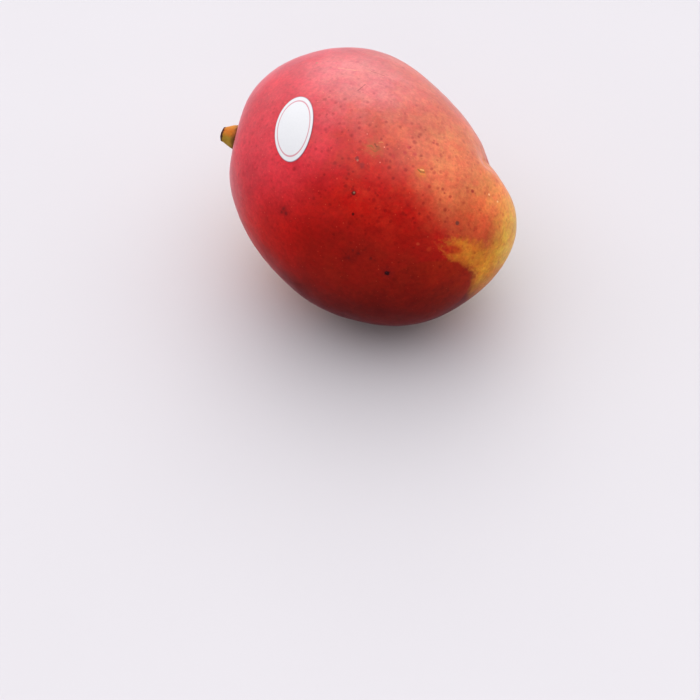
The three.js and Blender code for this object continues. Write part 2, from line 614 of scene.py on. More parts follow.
ZONES: tuple[Zone, ...] = (
    # The side away from the sun, where the red gives way to orange, yellow and green.
    Zone(88, -92, 80, 62, srgb(214, 112, 44), soft=0.3),
    Zone(80, -96, 58, 46, srgb(214, 160, 58), 0.85, soft=0.4),
    Zone(54, -80, 34, 34, srgb(156, 160, 64), 0.55, soft=0.5),
    # The pink stem end, the orange towards the apex and the pale pink crown of the near side, which is a
    # painted sheen, then a pale pink painted reflection along the rim at the back by the stem, and a
    # red-orange blush over the yellow.
    Zone(138, 72, 40, 47, srgb(200, 58, 72), 0.9, soft=0.4),
    Zone(66, 46, 46, 40, srgb(198, 104, 80), 0.95, soft=0.35),
    Zone(36, 68, 28, 28, srgb(210, 124, 84), 0.95, soft=0.35, lumps=7),
    Zone(17, 84, 18, 26, srgb(214, 134, 76), 0.85, soft=0.45, lumps=9),
    # Painted sheen: the crown's pale pink.
    Zone(103, 51, 23, 24, srgb(190, 102, 106), 0.75, soft=0.6),
    # Painted reflection: a pale pink band along the rim by the stem.
    Zone(158, 152, 16, 10, srgb(206, 116, 124), 0.4, soft=0.8, wobble=0.7, lumps=7),
    Zone(29, 103, 11, 7, srgb(198, 74, 44), 0.55, soft=0.7, wobble=0.7, lumps=12),
    # Deep red to maroon down the sunny back of the fruit, darker towards the underside: partly its own
    # colour, partly painted shade.
    Zone(73, 154, 54, 37, srgb(160, 26, 12), 0.75, soft=0.5),
    Zone(64, 183, 58, 29, srgb(96, 5, 4), 0.9, soft=0.5),
    # The yellow apex and its feathered ochre patch, cut off sharply by the red lobe behind it
    # and softly by orange-brown on the far side, with maroon over them all, partly painted shade.
    Zone(12.5, 166, 14, 14, srgb(216, 154, 50), 0.95, soft=0.28, wobble=0.6, lumps=12),
    Zone(29, 127.5, 11, 5.4, srgb(204, 136, 48), 0.85, turn=-17, soft=0.4, wobble=1.6, lumps=24),
    Zone(5, 82, 14, 12, srgb(214, 170, 74), 0.85, soft=0.5, wobble=0.3, lumps=6),
    Zone(37, 124.5, 4, 1.7, srgb(184, 46, 26), 0.7, soft=0.5, wobble=0.8, lumps=24),
    Zone(51, 160, 25.1, 18.7, srgb(164, 50, 17), 1.0, turn=20, soft=0.035, wobble=0.1, lumps=8),
    Zone(26, 214, 15, 11, srgb(190, 84, 34), 0.75, soft=0.7, wobble=0.9, lumps=12),
    # Deep red and maroon towards the underside, partly painted shade.
    Zone(67, 150, 30, 24, srgb(142, 32, 16), 0.9, soft=0.5, wobble=0.5),
    Zone(64, 186, 42, 25, srgb(96, 8, 5), 0.85, soft=0.5, wobble=0.5),
)

PALE_STREAK = srgb(214, 156, 70)
OLIVE = srgb(128, 106, 44)
DARK_SCAR = srgb(96, 34, 28)

BLEMISHES: tuple[Blemish, ...] = (
    # The small pit with a painted highlight for its pale floor, and the darker dot below it.
    Blemish(84.7, 109.9, 0.75, srgb(84, 26, 22), 0.85, sunk=1.0),
    Blemish(84.6, 109.6, 0.32, srgb(164, 144, 120), 0.7, soft=0.7, wobble=0.8),
    Blemish(82.0, 118.8, 0.5, srgb(70, 8, 10), 0.8),
    # The two round corky spots.
    Blemish(61.8, 141.7, 0.85, srgb(36, 10, 18), 0.9, wobble=0.9, sunk=0.6),
    Blemish(62.1, 141.4, 0.25, srgb(92, 56, 60), 0.6, soft=0.7),
    Blemish(61.8, 141.7, 2.2, srgb(70, 20, 40), 0.2, soft=0.8, wobble=1.2),
    Blemish(37.7, 106.9, 0.75, srgb(104, 66, 58), 0.8, wobble=0.9, sunk=0.5),
    # Purple-grey flecks, the red dot and the brown scar's blots.
    Blemish(88.7, 94.8, 0.7, srgb(92, 44, 50), 0.6, wobble=1.2),
    Blemish(88.2, 95.6, 0.4, srgb(170, 130, 110), 0.6, wobble=1.0),
    Blemish(85.3, 97.2, 0.9, srgb(130, 48, 50), 0.5, soft=0.6, wobble=1.4),
    Blemish(36.1, 82.5, 0.6, srgb(150, 34, 34), 0.75),
    Blemish(83.9, 85.6, 0.4, DARK_SCAR, 0.6, soft=0.6, wobble=1.2),
    Blemish(81.9, 87.0, 0.7, DARK_SCAR, 0.5, soft=0.6, wobble=1.6),
    Blemish(83.4, 87.6, 2.8, srgb(178, 112, 56), 0.4, soft=0.8, wobble=2.0, sunk=0.2),
    # Two clusters of small dark specks, each on a faint shade.
    Blemish(113.5, 130.0, 2.4, srgb(96, 20, 24), 0.3, soft=0.8, wobble=1.8),
    Blemish(113.9, 129.1, 0.6, srgb(84, 24, 30), 0.5, soft=0.7, wobble=1.6),
    Blemish(112.3, 131.0, 0.6, srgb(84, 24, 30), 0.5, soft=0.7, wobble=1.6),
    Blemish(114.6, 131.6, 0.5, srgb(92, 20, 24), 0.45, soft=0.7, wobble=1.6),
    Blemish(77.4, 137.6, 3.2, srgb(96, 18, 20), 0.25, soft=0.9, wobble=1.8),
    Blemish(78.8, 138.8, 0.6, srgb(90, 24, 28), 0.5, soft=0.7, wobble=1.6),
    Blemish(75.0, 135.4, 0.55, srgb(84, 24, 28), 0.5, soft=0.7, wobble=1.6),
    Blemish(77.8, 134.9, 0.5, srgb(92, 26, 28), 0.45, soft=0.7, wobble=1.6),
    Blemish(69.5, 136.2, 0.5, srgb(84, 24, 28), 0.5, soft=0.7, wobble=1.6),
    # Red specks above the curved scar, and three bright dots that are painted glints.
    Blemish(69.3, 79.9, 0.6, srgb(186, 60, 68), 0.6, soft=0.6),
    Blemish(69.9, 83.2, 0.65, srgb(180, 52, 62), 0.6, soft=0.6),
    Blemish(65.6, 81.4, 0.6, srgb(186, 60, 68), 0.55, soft=0.6),
    Blemish(74.0, 87.6, 0.7, srgb(176, 44, 50), 0.5, soft=0.6, wobble=1.2),
    # Painted glints: three bright dots.
    Blemish(79.5, 85.2, 0.22, srgb(244, 186, 166), 0.55, soft=0.6),
    Blemish(78.6, 92.7, 0.22, srgb(240, 170, 150), 0.5, soft=0.6),
    Blemish(88.9, 82.6, 0.2, srgb(240, 180, 160), 0.45, soft=0.6),
    # The yellowed skin under the curved scar, and orange and pale flecks.
    Blemish(60.0, 88.6, 1.9, srgb(206, 132, 60), 0.5, soft=0.7, wobble=1.2),
    Blemish(46.9, 125.9, 0.8, srgb(196, 84, 44), 0.35, soft=0.7, wobble=0.9),
    Blemish(51.8, 124.2, 0.5, srgb(206, 100, 66), 0.4, soft=0.6, wobble=1.6),
    Blemish(125.4, 45.9, 0.45, srgb(150, 120, 80), 0.7, soft=0.5, wobble=1.0, sunk=0.3),
    Blemish(28.7, 75.4, 0.4, srgb(240, 196, 150), 0.7, wobble=1.2),
    Blemish(23.7, 73.8, 0.45, srgb(240, 196, 150), 0.7, wobble=1.2),
)

SCRATCHES: tuple[Scratch, ...] = (
    # The curved scar: a dark groove between two yellow lips.
    Scratch((60.6, 87.4), (59.2, 87.0), 0.34, srgb(232, 194, 124), 0.75, 0.5),
    Scratch((60.0, 89.5), (57.9, 88.7), 0.4, srgb(216, 160, 70), 0.55, 0.8),
    Scratch((61.7, 87.9), (60.1, 88.5), 0.36, OLIVE, 0.85, 0.4),
    Scratch((60.1, 88.5), (58.6, 87.8), 0.36, OLIVE, 0.75, 0.5),
    # The brown scar's scribbles.
    Scratch((86.6, 87.9), (84.9, 87.0), 0.36, OLIVE, 0.65, 0.8),
    Scratch((84.9, 87.0), (83.6, 87.8), 0.34, OLIVE, 0.6, 0.9),
    Scratch((85.0, 88.7), (82.6, 88.9), 0.36, OLIVE, 0.55, 0.9),
    Scratch((82.6, 88.9), (81.6, 87.9), 0.34, OLIVE, 0.55, 0.8),
    Scratch((84.0, 85.7), (82.9, 86.5), 0.34, DARK_SCAR, 0.55, 0.8),
    Scratch((82.9, 86.5), (82.2, 86.3), 0.34, DARK_SCAR, 0.45, 0.8),
    Scratch((82.6, 84.2), (81.4, 83.4), 0.3, srgb(214, 164, 96), 0.5, 0.8),
    Scratch((81.4, 83.4), (80.5, 83.6), 0.28, srgb(214, 164, 96), 0.4, 0.9),
    # Two fine dark scratches on the crown.
    Scratch((101.7, 62.1), (100.3, 57.1), 0.42, srgb(140, 52, 52), 0.7, 0.7),
    Scratch((101.3, 46.6), (95.2, 46.2), 0.42, srgb(150, 58, 56), 0.65, 0.8),
    # A pale hairline that runs along the crown from a small scar.
    Scratch((125.3, 45.9), (114.7, 50.0), 0.4, srgb(226, 150, 116), 0.4, 1.0),
    Scratch((114.7, 50.0), (107.7, 49.4), 0.4, srgb(230, 166, 120), 0.5, 0.8),
    Scratch((107.7, 49.4), (101.3, 46.8), 0.4, srgb(226, 150, 116), 0.4, 1.0),
    # Pale streaks that run from the red into the ochre.
    Scratch((45.5, 121.5), (40.5, 126.5), 1.5, srgb(200, 84, 44), 0.4, 1.5),
    Scratch((42.0, 125.4), (35.5, 130.5), 1.4, PALE_STREAK, 0.28, 1.6),
    Scratch((36.1, 119.1), (28.4, 119.9), 1.4, PALE_STREAK, 0.28, 1.6),
    Scratch((27.0, 140.0), (23.8, 150.0), 1.4, PALE_STREAK, 0.4, 1.3),
    Scratch((24.0, 150.0), (24.6, 160.0), 1.2, PALE_STREAK, 0.35, 1.3),
)


@dataclass(frozen=True)
class SkinFinish:
    """Waxy fruit skin: blushed zones, among them painted shade and a painted sheen, mottling, pale and dark
    specks, small blemishes with a few painted highlights, and soft gloss.
    """

    ground: Colour = srgb(188, 27, 20)
    orange: Colour = srgb(206, 104, 60)
    flushed: Colour = (0.99, 0.84, 0.91)
    paled: Colour = (1.02, 1.14, 1.07)
    speck: Colour = (0.62, 0.3, 0.42)
    lenticel: Colour = srgb(244, 150, 110)
    cork: Colour = srgb(98, 60, 30)
    sheen: Colour = srgb(232, 214, 240)
    dappled: Zone = Zone(72, 76, 44, 40, soft=0.5)
    band: Zone = Zone(78, 92, 52, 34, soft=0.6, wobble=1.4, lumps=9)
    waxed: Zone = Zone(100, 60, 62, 54, soft=0.5)
    matt: Zone = Zone(72, 150, 66, 42, soft=0.5)
    patches: Pattern = Pattern(110.0, 4.0, 0.7, 0.38, 0.78, (0.0, 0.3))
    blotches: Pattern = Pattern(70.0, 5.0, 0.65, 0.3, 0.7, (0.87, 1.11))
    grain: Pattern = Pattern(700.0, 3.0, 0.7, 0.3, 0.7, (0.9, 1.1))
    freckles: Pattern = Pattern(240.0, 4.0, 0.65, 0.34, 0.66)
    clusters: Pattern = Pattern(160.0, 2.0, 0.5, 0.36, 0.56)
    pale_dots: Dots = Dots(560.0, 0.12, 0.8)
    large_specks: Dots = Dots(290.0, 0.24, 0.9)
    small_specks: Dots = Dots(440.0, 0.32, 0.95)
    pale_shown: Span = (0.35, 0.15)
    large_shown: Span = (0.3, 0.7)
    small_shown: Span = (0.15, 0.75)
    rough: Span = (0.4, 0.55)
    rim_rough: float = 0.2
    wax: Span = (0.55, 0.95)
    wax_kept: float = 0.15
    ring_radius: float = 5.9 * MM
    ring_strength: float = 0.85
    peel_lumps: float = 520.0
    peel_height: float = 0.35
    dot_height: float = 0.25
    relief_depth: float = 0.1 * MM

    def build(self, effects: Effects, skin: bpy.types.Object, stalk_foot: Vector) -> bpy.types.Material:
        """Makes the material.

        Args:
            effects: the shared node groups.
            skin: the modelled skin, which every mark is placed on.
            stalk_foot: where the stalk grows from the skin, in the row frame.

        Returns:
            The skin's material.
        """
        material, s, shader = blank_material("mango_skin")
        where = s.here()
        place = s.own_axes(where, AXES.heart, (AXES.roll, AXES.dip, 0))
        direction = s.vector("NORMALIZE", place)

        colour: object = self.ground
        for zone in ZONES:
            colour = s.lay(effects.area(s, direction, zone), zone.strength, colour, zone.colour)
        colour = self._mottling(s, effects, place, direction, colour)
        colour, raised = self._specks(s, effects, place, direction, colour)
        colour, sunk = self._marks(s, effects, skin, place, colour)
        colour, rim = self._stem_ring(s, effects, where, stalk_foot, colour)
        s.feed(shader.inputs["Base Color"], colour)

        patchy = s.noise(place, 90.0, 3.0, 0.6)
        rough = s.math("MULTIPLY_ADD", rim, self.rim_rough, s.step(patchy, 0.3, 0.7, self.rough))
        s.feed(shader.inputs["Roughness"], rough)
        s.feed(shader.inputs["Normal"], self._relief(s, place, raised, sunk))
        wax = s.between(effects.area(s, direction, self.waxed), *self.wax)
        wax = s.times(wax, s.between(effects.area(s, direction, self.matt), 1.0, self.wax_kept))
        wax = s.times(wax, s.step(patchy, 0.25, 0.6, (0.8, 1.0)))
        s.feed(shader.inputs["Coat Weight"], s.math("SUBTRACT", wax, rim, clamp=True))
        shader.inputs["Coat Roughness"].default_value = 0.34
        shader.inputs["Coat IOR"].default_value = 1.58
        shader.inputs["Specular IOR Level"].default_value = 0.14
        shader.inputs["Sheen Weight"].default_value = 0.1
        shader.inputs["Sheen Roughness"].default_value = 0.3
        shader.inputs["Sheen Tint"].default_value = (*self.sheen, 1.0)
        return material

    def _mottling(self, s: Sketch, effects: Effects, place: Socket, direction: Socket,
                  colour: Socket) -> Socket:
        """Lays soft blotches, orange patches between the red and the apex, and fine grain.

        Args:
            s: the skin's sketch.
            effects: the shared node groups.
            place: each point on the fruit's own axes.
            direction: each point's direction from the heart of the fruit.
            colour: the colour so far.

        Returns:
            The colour with them.
        """
        dappled = effects.area(s, direction, self.dappled)
        colour = s.lay(self.patches.draw(s, place), dappled, colour, self.orange)
        tone = s.times(self.blotches.draw(s, place), self.grain.draw(s, place))
        colour = s.mix(1.0, colour, tone, "MULTIPLY")
        tint = s.mix(self.freckles.draw(s, place), self.flushed, self.paled)
        return s.mix(1.0, colour, tint, "MULTIPLY")

    def _specks(self, s: Sketch, effects: Effects, place: Socket, direction: Socket,
                colour: Socket) -> tuple[Socket, Socket]:
        """Lays pale dots all over, and darker specks that crowd in a band along the near cheek.

        Args:
            s: the skin's sketch.
            effects: the shared node groups.
            place: each point on the fruit's own axes.
            direction: each point's direction from the heart of the fruit.
            colour: the colour so far.

        Returns:
            The colour with them, and the mask of the pale dots, which stand a little proud.
        """
        pale = effects.scatter(s, place, self.pale_dots)
        shown = s.between(effects.area(s, direction, self.matt), *self.pale_shown)
        colour = s.lay(pale, shown, colour, self.lenticel)
        crowd = s.times(effects.area(s, direction, self.band), self.clusters.draw(s, place))
        large = effects.scatter(s, place, self.large_specks)
        small = effects.scatter(s, place, self.small_specks)
        large = s.times(large, s.between(crowd, *self.large_shown))
        small = s.times(small, s.between(crowd, *self.small_shown))
        dark = s.mix(1.0, colour, self.speck, "MULTIPLY")
        return s.mix(s.math("MAXIMUM", large, small), colour, dark), pale

    def _marks(self, s: Sketch, effects: Effects, skin: bpy.types.Object, place: Socket,
               colour: Socket) -> tuple[Socket, Socket]:
        """Lays the named blemishes and scratches, each at its own place; a few of the blemishes are painted
        highlights.

        Args:
            s: the skin's sketch.
            effects: the shared node groups.
            skin: the modelled skin.
            place: each point on the fruit's own axes.
            colour: the colour so far.

        Returns:
            The colour with them, and how deep they are sunk.
        """
        depth: object = 0.0
        for mark in BLEMISHES:
            centre = AXES.on_skin(skin, mark.from_apex, mark.around)
            mask = effects.place(s, effects.spot, Position=place, Centre=centre, Radius=mark.radius * MM,
                                 Soft=mark.soft, Wobble=mark.wobble)
            colour = s.lay(mask, mark.strength, colour, mark.colour)
            if mark.sunk:
                depth = s.math("MULTIPLY_ADD", mask, mark.sunk, depth)
        for scratch in SCRATCHES:
            start, end = AXES.on_skin(skin, *scratch.start), AXES.on_skin(skin, *scratch.end)
            mask = effects.place(s, effects.stroke, Position=place, Start=start, End=end,
                                 Width=scratch.width * MM, Broken=scratch.broken)
            colour = s.lay(mask, scratch.strength, colour, scratch.colour)
        return colour, depth

    def _stem_ring(self, s: Sketch, effects: Effects, where: Socket, foot: Vector,
                   colour: Socket) -> tuple[Socket, Socket]:
        """Lays the brown corky ring where the stalk leaves the skin.

        Args:
            s: the skin's sketch.
            effects: the shared node groups.
            where: each point in the row frame.
            foot: where the stalk leaves the skin.
            colour: the colour so far.

        Returns:
            The colour with it, and its mask.
        """
        ring = effects.place(s, effects.spot, Position=where, Centre=foot, Radius=self.ring_radius,
                             Soft=0.2, Wobble=0.2)
        return s.lay(ring, self.ring_strength, colour, self.cork), ring

    def _relief(self, s: Sketch, place: Socket, raised: Socket, sunk: Socket) -> Socket:
        """Makes the fine waxy relief that the mesh is too coarse for.

        Args:
            s: the skin's sketch.
            place: each point on the fruit's own axes.
            raised: where the pale dots stand proud.
            sunk: how deep the marks are.

        Returns:
            The normal.
        """
        peel = s.times(s.noise(place, self.peel_lumps, 3.0, 0.55), self.peel_height)
        height = s.math("MULTIPLY_ADD", raised, self.dot_height, peel)
        return s.relief(s.math("SUBTRACT", height, sunk), 0.35, self.relief_depth)


@dataclass(frozen=True)
class StalkFinish:
    """Ochre wood, olive below, with an orange fleck, a painted shadow of dark brown at the root, and a dark
    cut with pale pith.
    """

    flesh: Colour = srgb(190, 120, 34)
    pale: Colour = srgb(210, 154, 74)
    olive: Colour = srgb(158, 136, 46)
    warm: Colour = srgb(220, 124, 72)
    # Painted shadow where the stalk sits down in the skin.
    root: Colour = srgb(84, 40, 16)
    dark: Colour = srgb(62, 28, 32)
    pith: Colour = srgb(146, 100, 60)
    flecks: Pattern = Pattern(520.0, 2.0, 0.5, 0.42, 0.6, (0.0, 0.8))
    half_width: float = 4 * MM
    pith_reach: Span = (1.6 * MM, 2.5 * MM)
    pith_wander: float = 1.2 * MM
    fibre_depth: float = 0.15 * MM

    def build(self, foot: Vector, axis: Vector, length: float) -> bpy.types.Material:
        """Makes the material.

        Args:
            foot: where the stalk leaves the skin.
            axis: the unit vector that it grows along.
            length: from the skin to the cut end.

        Returns:
            The stalk's material.
        """
        material, s, shader = blank_material("mango_stalk")
        where = s.here()
        since = s.vector("SUBTRACT", where, foot)
        part = s.math("DIVIDE", s.measure("DOT_PRODUCT", since, axis), length)
        dorsal = AXES.turn() @ Vector((0, -1, 0))
        side = s.math("DIVIDE", s.measure("DOT_PRODUCT", since, dorsal), self.half_width)
        wander = s.math("MULTIPLY_ADD", s.noise(where, 420.0, 3.0), 0.8, side)
        colour = s.mix(s.step(wander, -0.6, 0.4, (1.0, 0.0)), self.flesh, self.pale)
        colour = s.mix(s.step(wander, 0.5, 1.1, (0.0, 0.9)), colour, self.olive)
        fleck = s.times(self.flecks.draw(s, where), s.step(part, 0.55, 0.8))
        colour = s.lay(fleck, s.step(wander, 0.3, 0.7, (1.0, 0.0)), colour, self.warm)
        ragged = s.math("MULTIPLY_ADD", s.noise(where, 600.0, 2.0), 0.3, part)
        # Painted shadow at the foot of the stalk, where it sits down in the skin.
        colour = s.mix(s.step(ragged, 0.2, 0.6, (0.85, 0.0)), colour, self.root)
        colour = s.mix(s.step(ragged, 0.98, 1.08, (0.0, 0.92)), colour, self.dark)
        inward = s.measure("DISTANCE", where, foot + axis * length)
        pith = s.math("MULTIPLY_ADD", s.noise(where, 1100.0, 3.0), self.pith_wander, inward)
        colour = s.mix(s.step(pith, *self.pith_reach, (0.8, 0.0)), colour, self.pith)
        s.feed(shader.inputs["Base Color"], colour)
        fibre = s.noise(where, 900.0, 3.0)
        s.feed(shader.inputs["Roughness"], s.step(fibre, 0.3, 0.7, (0.55, 0.8)))
        s.feed(shader.inputs["Normal"], s.relief(fibre, 0.5, self.fibre_depth))
        return material


@dataclass(frozen=True)
class LabelFinish:
    """Smooth white paper with one thin rose line inside its edge, and a painted plum shadow round the rim.
    """

    paper: Colour = srgb(216, 218, 219)
    shade: Colour = srgb(206, 207, 210)
    # A painted plum shadow round the rim, where the paper's edge meets the skin.
    edge: Colour = srgb(112, 56, 92)
    line: Colour = srgb(196, 108, 122)
    line_start: Span = (0.81, 0.84)
    line_end: Span = (0.85, 0.88)
    line_strength: float = 0.75
    edge_shadow_from: Span = (0.97, 1.0)
    edge_shadow_strength: float = 0.7

    def build(self, centre: Vector, turn: Matrix, half_length: float,
              half_width: float) -> bpy.types.Material:
        """Makes the material.

        Args:
            centre: the label's middle.
            turn: its axes, with X along it and Y across it.
            half_length: half of its length.
            half_width: half of its width.

        Returns:
            The label's material.
        """
        material, s, shader = blank_material("paper_label")
        own = s.own_axes(s.here(), centre, turn.to_euler(), (half_length, half_width, half_width))
        reach = s.measure("LENGTH", s.vector("MULTIPLY", own, (1.0, 1.0, 0.0)))
        inner = s.step(reach, *self.line_start)
        outer = s.step(reach, *self.line_end, (self.line_strength, 0.0))
        fibre = s.noise(s.here(), 1500.0, 4.0)
        paper = s.mix(s.step(fibre, 0.3, 0.8, (0.0, 0.25)), self.paper, self.shade)
        # Painted shadow round the rim.
        paper = s.mix(s.step(reach, *self.edge_shadow_from, (0.0, self.edge_shadow_strength)), paper, self.edge)
        s.feed(shader.inputs["Base Color"], s.lay(inner, outer, paper, self.line))
        s.feed(shader.inputs["Roughness"], s.step(fibre, 0.2, 0.8, (0.42, 0.52)))
        return material


def blank_material(name: str) -> tuple[bpy.types.Material, Sketch, bpy.types.Node]:
    """Makes a material with only its shader and output.

    Args:
        name: the material's name.

    Returns:
        The material, a sketch of its tree, and its Principled shader.
    """
    material = bpy.data.materials.new(name)
    material.use_nodes = True
    material.node_tree.nodes.clear()
    sketch = Sketch(material.node_tree)
    shader = sketch.node("ShaderNodeBsdfPrincipled")
    out = sketch.node("ShaderNodeOutputMaterial")
    sketch.feed(out.inputs["Surface"], shader.outputs["BSDF"])
    return material, sketch, shader


# Modelling

def only(piece: bpy.types.Object) -> None:
    """Selects one object alone and makes it the active one.

    Args:
        piece: the object.
    """
    if bpy.context.object and bpy.context.object.mode != "OBJECT":
        bpy.ops.object.mode_set(mode="OBJECT")
    bpy.ops.object.select_all(action="DESELECT")
    piece.select_set(True)
    bpy.context.view_layer.objects.active = piece


def pick(piece: bpy.types.Object, wanted: Callable[[Vector], bool], mode: str = "VERT") -> int:
    """Enters edit mode with only the wanted vertices or faces selected.

    Args:
        piece: the object to edit.
        wanted: tells from a vertex or a face's centre whether it is selected.
        mode: VERT or FACE.

    Returns:
        How many were selected.
    """
    only(piece)
    bpy.ops.object.mode_set(mode="EDIT")
    bpy.ops.mesh.select_mode(type=mode)
    bpy.ops.mesh.select_all(action="DESELECT")
    bpy.ops.object.mode_set(mode="OBJECT")
    mesh = piece.data
    items = mesh.vertices if mode == "VERT" else mesh.polygons
    flags = [wanted(i.co if mode == "VERT" else i.center) for i in items]
    items.foreach_set("select", flags)
    bpy.ops.object.mode_set(mode="EDIT")
    return sum(flags)


def leave_edit() -> None:
    """Goes back to object mode."""
    bpy.ops.object.mode_set(mode="OBJECT")


def apply_modifier(piece: bpy.types.Object, kind: str, **settings: object) -> None:
    """Adds one modifier and applies it.

    Args:
        piece: the object.
        kind: the modifier's type.
        settings: its own settings by name.
    """
    only(piece)
    modifier = piece.modifiers.new(kind.lower(), kind)
    for name, value in settings.items():
        setattr(modifier, name, value)
    bpy.ops.object.modifier_apply(modifier=modifier.name)


def roughen(piece: bpy.types.Object, name: str, size: float, height: float, depth: int = 2) -> None:
    """Raises soft lumps all over a piece.

    Args:
        piece: the object.
        name: what the lumps are called.
        size: how wide they are, in metres.
        height: from the lowest to the highest, in metres.
        depth: how many sizes of finer lumps are added.
    """
    texture = bpy.data.textures.new(name, "CLOUDS")
    texture.noise_scale = size
    texture.noise_depth = depth
    apply_modifier(piece, "DISPLACE", texture=texture, strength=height, texture_coords="LOCAL")


def settle(piece: bpy.types.Object) -> None:
    """Puts the object's place into its mesh and shades it smooth.

    Args:
        piece: the object.
    """
    only(piece)
    bpy.ops.object.transform_apply(location=True, rotation=True, scale=True)
    bpy.ops.object.shade_smooth()


@dataclass
class Skin:
    """The fruit's outside, as one fine closed skin over the solid."""

    fineness: int = 7
    start_radii: Triple = (62 * MM, 52 * MM, 49 * MM)
    weld: float = 0.005 * MM
    softness: float = 0.5
    smoothing: int = 60
    swell: float = 0.15 * MM
    lump_height: float = 0.35 * MM
    lump_size: float = 16 * MM
    ripple_height: float = 0.08 * MM
    ripple_size: float = 4 * MM
    contact: float = 0.12 * MM
    fold: tuple[tuple[float, float], ...] = ((32, 10), (33, 24), (34, 36), (34.5, 46))
    fold_width: float = 0.8 * MM
    fold_depth: float = 1.35 * MM
    fold_reach: float = 7 * MM
    finish: SkinFinish = field(default_factory=SkinFinish)

    def build(self, solid: bpy.types.Object, stalk: Stalk) -> bpy.types.Object:
        """Models the skin.

        Args:
            solid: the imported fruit.
            stalk: the stalk, whose socket the skin closes over.

        Returns:
            The finished skin.
        """
        mould = self._mould(solid, stalk)
        low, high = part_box("fruit")
        only(mould)
        bpy.ops.mesh.primitive_ico_sphere_add(subdivisions=self.fineness, radius=1,
                                              location=(low + high) / 2,
                                              rotation=(AXES.roll, AXES.dip, 0))
        skin = bpy.context.object
        skin.name = "mango_skin"
        bpy.ops.transform.resize(value=self.start_radii, orient_type="LOCAL")
        apply_modifier(skin, "SHRINKWRAP", target=mould, wrap_method="NEAREST_SURFACEPOINT")
        apply_modifier(skin, "SMOOTH", factor=self.softness, iterations=self.smoothing)
        settle(skin)
        apply_modifier(skin, "DISPLACE", strength=self.swell, mid_level=0.0)
        roughen(skin, "lumps", self.lump_size, self.lump_height)
        roughen(skin, "ripples", self.ripple_size, self.ripple_height)
        self._crease(skin)
        self._rest(skin)
        bpy.data.objects.remove(mould)
        only(skin)
        bpy.ops.object.shade_smooth()
        return skin

    def _mould(self, solid: bpy.types.Object, stalk: Stalk) -> bpy.types.Object:
        """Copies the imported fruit, merged and with the stalk's socket closed.

        Args:
            solid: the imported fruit.
            stalk: the stalk that stands in the socket.

        Returns:
            The copy.
        """
        mould = solid.copy()
        mould.data = solid.data.copy()
        mould.parent = None
        bpy.context.scene.collection.objects.link(mould)
        pick(mould, lambda co: True)
        bpy.ops.mesh.remove_doubles(threshold=self.weld)
        pick(mould, stalk.in_socket, "FACE")
        bpy.ops.mesh.delete(type="FACE")
        bpy.ops.mesh.select_all(action="DESELECT")
        bpy.ops.mesh.select_mode(type="EDGE")
        bpy.ops.mesh.select_non_manifold()
        bpy.ops.mesh.fill()
        leave_edit()
        return mould

    def _crease(self, skin: bpy.types.Object) -> None:
        """Deepens the fold between the belly and the beak, where it turns round to the near cheek.

        Args:
            skin: the skin so far.
        """
        path = [AXES.heart + AXES.turn() @ AXES.on_skin(skin, *place) for place in self.fold]

        def on_fold(co: Vector) -> bool:
            """Tells whether a point lies on the fold's line.

            Args:
                co: the point.

            Returns:
                True within the fold's width.
            """
            for start, end in zip(path, path[1:]):
                along = end - start
                part = min(max((co - start).dot(along) / along.length_squared, 0), 1)
                if (co - start - along * part).length < self.fold_width:
                    return True
            return False

        pick(skin, on_fold)
        bpy.ops.transform.shrink_fatten(value=-self.fold_depth, use_proportional_edit=True,
                                        proportional_edit_falloff="SHARP",
                                        proportional_size=self.fold_reach)
        leave_edit()

    def _rest(self, skin: bpy.types.Object) -> None:
        """Presses the skin flat where it touches the floor.

        Args:
            skin: the skin so far.
        """
        lowest = min(v.co.z for v in skin.data.vertices)
        pick(skin, lambda co: co.z < lowest + self.contact)
        bpy.ops.transform.resize(value=(1, 1, 0), center_override=(0, 0, 0))
        leave_edit()
        for vertex in skin.data.vertices:
            vertex.co.z = max(vertex.co.z, 0.0)

    def dress(self, skin: bpy.types.Object, effects: Effects, stalk: Stalk) -> None:
        """Gives the skin its finish and its place in the part."""
        skin.data.materials.append(self.finish.build(effects, skin, stalk.foot))
        hand_over(skin, "fruit")


